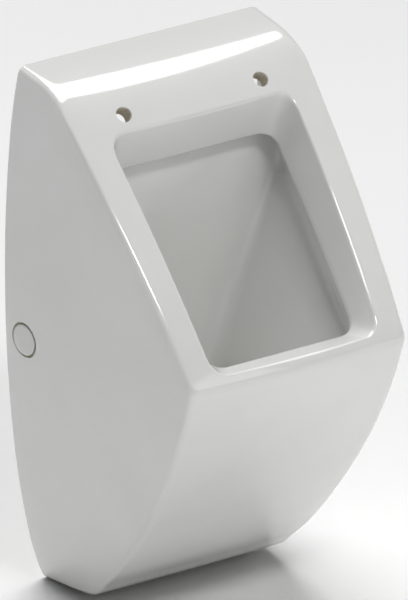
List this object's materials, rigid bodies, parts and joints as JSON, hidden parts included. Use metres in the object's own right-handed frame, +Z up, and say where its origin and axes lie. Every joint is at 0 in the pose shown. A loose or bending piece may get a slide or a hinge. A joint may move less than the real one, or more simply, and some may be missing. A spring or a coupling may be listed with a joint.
{
  "type": "wall-hung urinal",
  "caption": "Wall-hung ceramic urinal with a slanted front, a bevelled mouth, lid-hinge holes, side fixings, a lift-out strainer and a bottle trap.",
  "frame": {"origin": "on the wall plane, midway between the two wall-stud holes, which are half way up the body", "axes": "+X to the right as seen from the front, +Y into the wall, +Z up; the mouth faces -Y"},
  "size_m": [0.316, 0.295, 0.56],
  "materials": {
    "white_glaze": "glossy white glaze",
    "cap_white": "glossy white",
    "white_plastic": "moulded polypropylene",
    "grey_plastic": "moulded grey plastic",
    "rubber": "black rubber",
    "stainless": "stainless steel",
    "zinc_steel": "zinc plated",
    "brass": "plain brass"
  },
  "bodies": {
    "root": {"ceramic_body": "white_glaze", "fixing_block_left": "grey_plastic", "fixing_block_right": "grey_plastic", "wall_washers": "zinc_steel", "wall_nuts": "zinc_steel", "side_bushes": "white_plastic", "side_screws": "zinc_steel", "waste_flange": "stainless", "waste_seal_upper": "rubber", "waste_seal_lower": "rubber", "waste_locknut": "grey_plastic", "trap_body": "white_plastic", "trap_inlet_nut": "white_plastic", "trap_inlet_seal": "rubber", "trap_cup_seal": "rubber", "outlet_pipe": "grey_plastic", "outlet_nut": "white_plastic", "outlet_seal": "rubber", "inlet_connector": "brass", "inlet_union_nut": "brass", "inlet_grommet": "rubber", "spray_nozzle": "cap_white"},
    "strainer": {"strainer_grate": "stainless", "dip_tube": "white_plastic", "dip_tube_seal": "rubber"},
    "cap_left": {"side_cap_left": "cap_white"},
    "cap_right": {"side_cap_right": "cap_white"},
    "cup": {"trap_cup": "white_plastic"}
  },
  "joints": [
    {"name": "strainer_lift", "type": "slide", "parent": "root", "child": "strainer", "axis": [0, 0, 1], "range_m": [0, 0.12]},
    {"name": "side_cap_left_pull", "type": "slide", "parent": "root", "child": "cap_left", "axis": [-0.9937, -0.1121, 0], "range_m": [0, 0.02]},
    {"name": "side_cap_right_pull", "type": "slide", "parent": "root", "child": "cap_right", "axis": [0.9937, -0.1121, 0], "range_m": [0, 0.02]},
    {"name": "trap_cup_turn", "type": "hinge", "parent": "root", "child": "cup", "pos_m": [0, -0.112, -0.17], "axis": [0, 0, 1], "range_deg": [0, 90]}
  ]
}
